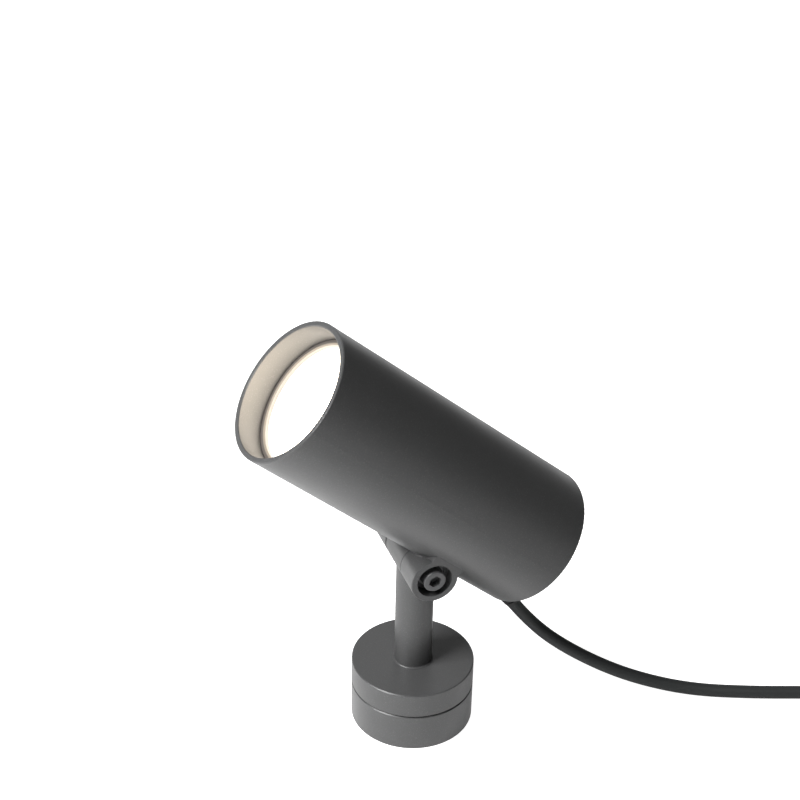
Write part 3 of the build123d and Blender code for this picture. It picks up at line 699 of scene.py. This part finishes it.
@dataclass
class Gland:
    """The slanted cable gland on the rear cap, with its tapered and ribbed strain relief."""

    station: float = 43.4 * MM
    height: float = 8.5 * MM
    slant: float = 23.0
    nut_top: float = 7.7 * MM
    boot_length: float = 12.5 * MM
    boot_bend: float = 7.5
    root_radius: float = 4.6 * MM
    tip_radius: float = 3.25 * MM
    bore_radius: float = 3.05 * MM
    ribs: int = 5
    rib_depth: float = 0.45 * MM
    rib_shape: tuple[tuple[float, int], ...] = ((0.0, 0), (0.12, 1), (0.4, 1), (0.52, 0))
    plain_end: float = 1.2 * MM
    root_break: float = 0.3 * MM
    root_rise: float = 0.4 * MM
    tip_break: float = 0.15 * MM
    tip_fall: float = 0.5 * MM
    sides: int = 40

    def axis(self) -> Vector:
        """Direction in which the cord leaves the cap."""
        line = HeadLine()
        angle = radians(self.slant)
        return line.direction() * cos(angle) - line.rise() * sin(angle)

    def upward(self) -> Vector:
        """Direction across the gland, on the side that the boot bends to."""
        line = HeadLine()
        angle = radians(self.slant)
        return line.direction() * sin(angle) + line.rise() * cos(angle)

    def boot_place(self, share: float) -> tuple[Vector, Vector]:
        """Point and direction a share of the way along the boot.

        Args:
            share: 0 at the nut and 1 at the tip.

        Returns:
            The point on the cord's line and its direction there.
        """
        radius = self.boot_length / radians(self.boot_bend)
        angle = radians(self.boot_bend) * share
        start = HeadLine().point(self.station, self.height) + self.axis() * self.nut_top
        along, up = self.axis(), self.upward()
        point = start + along * (radius * sin(angle)) + up * (radius * (1 - cos(angle)))
        return point, along * cos(angle) + up * sin(angle)

    def boot_profile(self) -> list[tuple[float, float]]:
        """Radius and height stations of the ribbed taper."""
        stations = [
            (self.root_radius - self.root_break, 0.0),
            (self.root_radius, self.root_rise),
        ]
        pitch = (self.boot_length - 2 * self.plain_end) / self.ribs
        for rib in range(self.ribs):
            low = self.plain_end + pitch * rib
            for share, cut in self.rib_shape:
                height = low + pitch * share
                taper = height / self.boot_length
                radius = self.root_radius + (self.tip_radius - self.root_radius) * taper
                stations.append((radius - cut * self.rib_depth, height))
        stations.append((self.tip_radius, self.boot_length - self.tip_fall))
        stations.append((self.tip_radius - self.tip_break, self.boot_length))
        return stations

    def build(self, finishes: Finishes) -> None:
        """Model the strain relief in place of its plain solid.

        Args:
            finishes: the built materials.
        """
        boot = Bench.turned("ribbed_boot", self.boot_profile(), self.sides, self.bore_radius)
        side = Vector((1.0, 0.0, 0.0))
        for vertex in boot.data.vertices:
            point, along = self.boot_place(vertex.co.z / self.boot_length)
            vertex.co = point + side * vertex.co.x + along.cross(side) * vertex.co.y
        Bench.shade(boot, Smooth.MOULDED)
        dress(boot, finishes["seal_rubber"])
        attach(boot, Body.HEAD.value)
        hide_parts("cord_boot")
        LOG.info("ribbed boot built")


@dataclass
class SupplyCord:
    """The free cord: its listed route, the put-away coil and the straight tail."""

    diameter: float = 6.0 * MM
    stated_length: float = 1.49
    first_run: float = 11.6 * MM
    route: tuple[Point, ...] = (
        (0.0054, 0.0664, 0.0278),
        (0.0146, 0.0854, 0.0158),
        (0.0231, 0.1044, 0.0078),
        (0.0331, 0.1270, 0.0030),
        (0.0438, 0.1524, 0.0030),
        (0.0528, 0.1789, 0.0030),
    )
    touch_down: int = 3
    coil_start: tuple[float, float] = (0.0710, 0.2254)
    coil_heading: float = 69.3
    lead_in: float = 24.0 * MM
    pitch: float = 6.6 * MM
    layer: float = 6.6 * MM
    turns: int = 3
    middle_radius: float = 33.0 * MM
    floor_level: float = 4.2 * MM
    tail: float = 38.0 * MM
    points_per_half_turn: int = 8
    roundness: int = 8
    resolution: int = 8

    def coil_matrix(self) -> Matrix:
        """Frame at the start of the coil, its X along the cord's heading."""
        turn = Matrix.Rotation(radians(self.coil_heading), 4, "Z")
        return Matrix.Translation((*self.coil_start, 0.0)) @ turn

    def outer_radius(self) -> float:
        """Radius of the coil's outermost turn."""
        return self.middle_radius + self.pitch * self.turns / 2

    def half_turns(self) -> list[tuple[float, float]]:
        """Radius and height at each half turn: in on the floor, up a layer, and out again."""
        count = 2 * self.turns
        top = self.floor_level + self.layer
        inward = [self.outer_radius() - self.pitch / 2 * i for i in range(count + 2)]
        radii = inward + inward[count - 1 : 0 : -1]
        levels = [self.floor_level] * (count + 1) + [top] * count
        return list(zip(radii, levels))

    def coil_points(self) -> list[Vector]:
        """Control points of the coil in the lamp's frame."""
        outer = self.outer_radius()
        stations = self.half_turns()
        local: list[Vector] = [Vector((0.0, 0.0, self.floor_level))]
        # The smooth line runs inside its control points, so they stand a little outside the circle.
        swell = 1 / cos(pi / self.points_per_half_turn / 2)
        for i, ((r0, z0), (r1, z1)) in enumerate(zip(stations, stations[1:])):
            side = -1 if i % 2 == 0 else 1
            centre = outer + side * (r0 - r1) / 2
            radius = (r0 + r1) / 2 * swell
            for k in range(self.points_per_half_turn):
                share = (k + 0.5) / self.points_per_half_turn
                angle = pi * share + (-pi / 2 if side < 0 else pi / 2)
                local.append(
                    Vector(
                        (
                            self.diameter + radius * cos(angle),
                            centre + radius * sin(angle),
                            z0 + (z1 - z0) * share,
                        )
                    )
                )
        r_last, z_last = stations[-1]
        reach = r_last + self.pitch / 4
        quarter = self.points_per_half_turn // 2
        for k in range(quarter):
            angle = -pi / 2 + pi / 2 * (k + 0.5) / quarter
            local.append(
                Vector(
                    (
                        self.diameter + reach * swell * cos(angle),
                        outer - r_last + reach + reach * swell * sin(angle),
                        z_last,
                    )
                )
            )
        corner = Vector((self.diameter + reach, outer - r_last + reach, z_last))
        local.append(corner + Vector((0.0, self.tail * 0.5, 0.0)))
        local.append(corner + Vector((0.0, self.tail, 0.0)))
        matrix = self.coil_matrix()
        return [matrix @ point for point in local]

    def control_points(self) -> list[Vector]:
        """The whole cord's control points, from the boot's tip to the connector."""
        tip, heading = Gland().boot_place(1.0)
        points = [tip, tip + heading * self.first_run]
        points += [Vector(point) for point in self.route]
        start = self.coil_matrix() @ Vector((-self.lead_in, 0.0, self.floor_level))
        return points + [start] + self.coil_points()

    def along_route(self, name: str, radius: float) -> bpy.types.Object:
        """Mesh along the cord's smooth line.

        Args:
            name: the piece's name.
            radius: of a round tube closed at its ends, or zero for the bare line.

        Returns:
            The mesh, with its place in it.
        """
        places = self.control_points()
        curve = bpy.data.curves.new(name, "CURVE")
        curve.dimensions = "3D"
        curve.bevel_depth = radius
        curve.bevel_resolution = self.roundness
        curve.use_fill_caps = True
        spline = curve.splines.new("NURBS")
        spline.points.add(len(places) - 1)
        for point, place in zip(spline.points, places):
            point.co = (*place, 1.0)
        spline.order_u = 3
        spline.use_endpoint_u = True
        spline.resolution_u = self.resolution
        piece = bpy.data.objects.new(name, curve)
        bpy.context.scene.collection.objects.link(piece)
        Bench.pick(piece)
        bpy.ops.object.convert(target="MESH")
        return piece

    def line(self) -> list[Vector]:
        """Points along the cord's line, from the boot's tip to the connector."""
        thread = self.along_route("cord_line", 0.0)
        points = [vertex.co.copy() for vertex in thread.data.vertices]
        bpy.data.meshes.remove(thread.data)
        return points

    def build(self, finishes: Finishes, straps: list[bpy.types.Object]) -> None:
        """Args:
            finishes: the built materials.
            straps: what holds the coil; not used.
        """
        line = self.line()
        tube = self.along_route("supply_cord", self.diameter / 2)
        Bench.shade(tube, Smooth.CORD)
        dress(tube, finishes["cord_rubber"])
        length = sum((b - a).length for a, b in zip(line, line[1:]))
        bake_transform(tube)
        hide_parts("cord", "cord_coil")
        LOG.info("cord laid, %.3f m", length)


@dataclass
class CoilStraps:
    """Two woven straps round the coil's turns, each wound once round and over its own start."""

    width: float = 6.0 * MM
    thickness: float = 1.0 * MM
    outer_turn: float = 0.75
    inner_gap: float = 1.2 * MM
    outer_gap: float = 0.3 * MM
    lift: float = 0.2 * MM
    corner: float = 3.7 * MM
    corner_steps: int = 8
    lap: float = 7.0 * MM
    free_end: float = 3.0 * MM
    edge_round: float = 0.15 * MM
    edge_steps: int = 2
    # Each strap's place round the coil in degrees, and its shift in turns of the cord.
    shifts: tuple[tuple[float, float], ...] = ((180.0, 0.0), (0.0, 0.25))

    def path(self, shift: float) -> list[Vector]:
        """Middle line of one strap, seen along its width.

        Args:
            shift: turns by which the coil lies off this strap's side.

        Returns:
            Points round the turns, from the top over the outside and back over the start.
        """
        cord = SupplyCord()
        half = self.thickness / 2
        edge = cord.diameter / 2 + half
        inner = cord.outer_radius() - cord.pitch * (cord.turns + shift) - edge - self.inner_gap
        outer = cord.outer_radius() - cord.pitch * (self.outer_turn - 2 * shift) + edge + self.outer_gap
        top = cord.floor_level + cord.layer + cord.diameter / 2 + self.lift + half
        over = top + self.thickness
        middle = (inner + outer) / 2
        points = [Vector((middle, 0.0, top))]
        walls = ((outer, top), (outer, half), (inner, half), (inner, over))
        for number, (x, z) in enumerate(walls):
            first = pi / 2 * (1 - number)
            towards = first - pi / 4
            hub = Vector((x, 0.0, z)) - self.corner * Vector(
                (copysign(1.0, cos(towards)), 0.0, copysign(1.0, sin(towards)))
            )
            for step in range(self.corner_steps + 1):
                angle = first - pi / 2 * step / self.corner_steps
                points.append(hub + self.corner * Vector((cos(angle), 0.0, sin(angle))))
        points.append(Vector((middle + self.lap, 0.0, over)))
        points.append(Vector((middle + self.lap + self.free_end, 0.0, over + half)))
        return points

    def band(self, path: list[Vector]) -> bpy.types.Object:
        """Strip extruded edge by edge along a path, then thickened.

        Args:
            path: the strip's middle line.

        Returns:
            The strap, about the coil's middle.
        """
        Bench.clear()
        first, second = path[:2]
        bpy.ops.mesh.primitive_plane_add(size=1.0, location=(first + second) / 2)
        strip = bpy.context.object
        strip.name = "coil_strap"
        strip.scale = (second.x - first.x, self.width, 1.0)
        bpy.ops.object.transform_apply(location=True, rotation=True, scale=True)
        halfway = (first.x + second.x) / 2
        for edge in strip.data.edges:
            edge.select = min(strip.data.vertices[i].co.x for i in edge.vertices) > halfway
        for vertex in strip.data.vertices:
            vertex.select = vertex.co.x > halfway
        for face in strip.data.polygons:
            face.select = False
        bpy.ops.object.mode_set(mode="EDIT")
        bpy.ops.mesh.select_mode(type="EDGE")
        for here, there in zip(path[1:], path[2:]):
            bpy.ops.mesh.extrude_edges_move(TRANSFORM_OT_translate={"value": there - here})
        bpy.ops.object.mode_set(mode="OBJECT")
        thick = strip.modifiers.new("thick", "SOLIDIFY")
        thick.thickness = self.thickness
        thick.offset = 0.0
        soft = strip.modifiers.new("soft", "BEVEL")
        soft.width = self.edge_round
        soft.segments = self.edge_steps
        for modifier in (thick, soft):
            bpy.ops.object.modifier_apply(modifier=modifier.name)
        return strip

    def build(self, finishes: Finishes) -> list[bpy.types.Object]:
        """Model the straps in place of their plain solids.

        Args:
            finishes: the built materials.

        Returns:
            The straps.
        """
        cord = SupplyCord()
        middle = Matrix.Translation((cord.diameter, cord.outer_radius(), 0.0))
        straps: list[bpy.types.Object] = []
        for turn, shift in self.shifts:
            strap = self.band(self.path(shift))
            spun = Matrix.Rotation(radians(turn), 4, "Z")
            Bench.place(strap, cord.coil_matrix() @ middle @ spun)
            Bench.shade(strap, Smooth.MOULDED)
            dress(strap, finishes["strap_weave"])
            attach(strap, Body.COLUMN.value)
            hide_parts("cord_ties")
            straps.append(strap)
        LOG.info("%d straps wound", len(straps))
        return straps


@dataclass(frozen=True)
class Card:
    """A square soft light: where it stands, its side in metres and its power in watts."""

    name: str
    place: Point
    size: float
    power: float


@dataclass
class Studio:
    """Floor, lights and the camera at the photograph's angle."""

    eye: Point = (0.6636, -0.2603, 0.6282)
    forward: Point = (-0.7862, 0.2976, -0.5416)
    roll: float = 1.338
    lens: float = 91.49
    sensor: float = 36.0
    near_clip: float = 0.01
    floor_size: float = 16.0
    floor_grey: float = 0.72
    floor_roughness: float = 0.9
    surround_light: float = 0.03
    surround_seen: float = 1.0
    far_glow: float = 0.36
    left_glow: float = 1.62
    glow_reach: float = 0.4
    pool_centre: Point = (0.055, -0.02, 0.0)
    pool_glow: float = 0.6
    pool_reach: float = 0.14
    pool_core: float = 0.035
    aim: Point = (0.0, 0.0, 0.1)
    cards: tuple[Card, ...] = (
        Card("key_card", (0.16, -0.98, 1.22), 0.6, 38.0),
        Card("back_card", (-1.3, 0.45, 0.5), 1.2, 3.5),
        Card("side_card", (1.15, 0.5, 0.85), 0.8, 0.9),
    )

    def camera(self) -> None:
        """Set the camera."""
        data = bpy.data.cameras.new("camera")
        data.lens = self.lens
        data.sensor_width = self.sensor
        data.clip_start = self.near_clip
        camera = bpy.data.objects.new("camera", data)
        bpy.context.scene.collection.objects.link(camera)
        ahead = Vector(self.forward).normalized()
        level = ahead.cross(Vector((0, 0, 1))).normalized()
        upright = level.cross(ahead)
        angle = radians(self.roll)
        right = level * cos(angle) + upright * sin(angle)
        up = upright * cos(angle) - level * sin(angle)
        matrix = Matrix((right, up, -ahead)).transposed().to_4x4()
        matrix.translation = self.eye
        camera.matrix_world = matrix
        bpy.context.scene.camera = camera

    def floor(self) -> None:
        """Lay a wide pale floor that glows to the left, far off and in a pool near the lamp.

        The camera itself sees it as plain white.
        """
        Bench.clear()
        bpy.ops.mesh.primitive_plane_add(size=self.floor_size, location=(0, 0, 0))
        floor = bpy.context.object
        floor.name = "studio_floor"
        material = bpy.data.materials.new("studio_white")
        material.use_nodes = True
        shader = material.node_tree.nodes["Principled BSDF"]
        shader.inputs["Base Color"].default_value = (*[self.floor_grey] * 3, 1.0)
        shader.inputs["Roughness"].default_value = self.floor_roughness
        kit = NodeKit(material.node_tree)
        place = kit.add("ShaderNodeTexCoord").outputs["Object"]
        along, across, _ = kit.add("ShaderNodeSeparateXYZ", {0: place}).outputs
        near = kit.add(
            "ShaderNodeVectorMath", {0: place, 1: self.pool_centre}, operation="DISTANCE"
        ).outputs["Value"]
        left = kit.ramp(across, -self.glow_reach, 0.0, self.left_glow, 0.0)
        pool = kit.ramp(near, self.pool_core, self.pool_reach, self.pool_glow, 0.0)
        far = kit.ramp(along, -self.glow_reach, 0.0, self.far_glow, 0.0)
        glow = kit.math("ADD", kit.math("ADD", left, pool), far)
        seen = kit.add("ShaderNodeLightPath").outputs["Is Camera Ray"]
        glow = kit.math("MAXIMUM", glow, seen)
        material.node_tree.links.new(glow, shader.inputs["Emission Color"])
        shader.inputs["Emission Strength"].default_value = 1.0
        dress(floor, material)

    def light(self, card: Card) -> None:
        """Add a soft light that faces the lamp.

        Args:
            card: the light's place, size and power.
        """
        data = bpy.data.lights.new(card.name, "AREA")
        data.size = card.size
        data.energy = card.power
        lamp = bpy.data.objects.new(card.name, data)
        lamp.visible_camera = False
        bpy.context.scene.collection.objects.link(lamp)
        lamp.location = card.place
        way = Vector(self.aim) - Vector(card.place)
        lamp.rotation_euler = way.to_track_quat("-Z", "Y").to_euler()

    def world(self) -> None:
        """Set an even surround: white to the camera and dim as a light."""
        world = bpy.data.worlds.new("studio_air")
        bpy.context.scene.world = world
        world.use_nodes = True
        kit = NodeKit(world.node_tree)
        seen = kit.add("ShaderNodeLightPath").outputs["Is Camera Ray"]
        surround = world.node_tree.nodes["Background"]
        surround.inputs["Color"].default_value = (1.0, 1.0, 1.0, 1.0)
        strength = kit.ramp(seen, 0.0, 1.0, self.surround_light, self.surround_seen)
        world.node_tree.links.new(strength, surround.inputs["Strength"])

    def build(self) -> None:
        """Set up the whole studio."""
        bpy.context.scene.view_settings.view_transform = "Standard"
        self.camera()
        self.floor()
        self.world()
        for card in self.cards:
            self.light(card)


def main() -> None:
    """Dress the lamp, lay its cord and set the studio."""
    logging.basicConfig(level=logging.INFO, format="%(name)s: %(message)s")
    finishes = Finishes()
    finishes.build()
    NodeDress().apply(finishes)
    Gland().build(finishes)
    straps = CoilStraps().build(finishes)
    SupplyCord().build(finishes, straps)
    Studio().build()


if __name__ == "__main__":
    main()
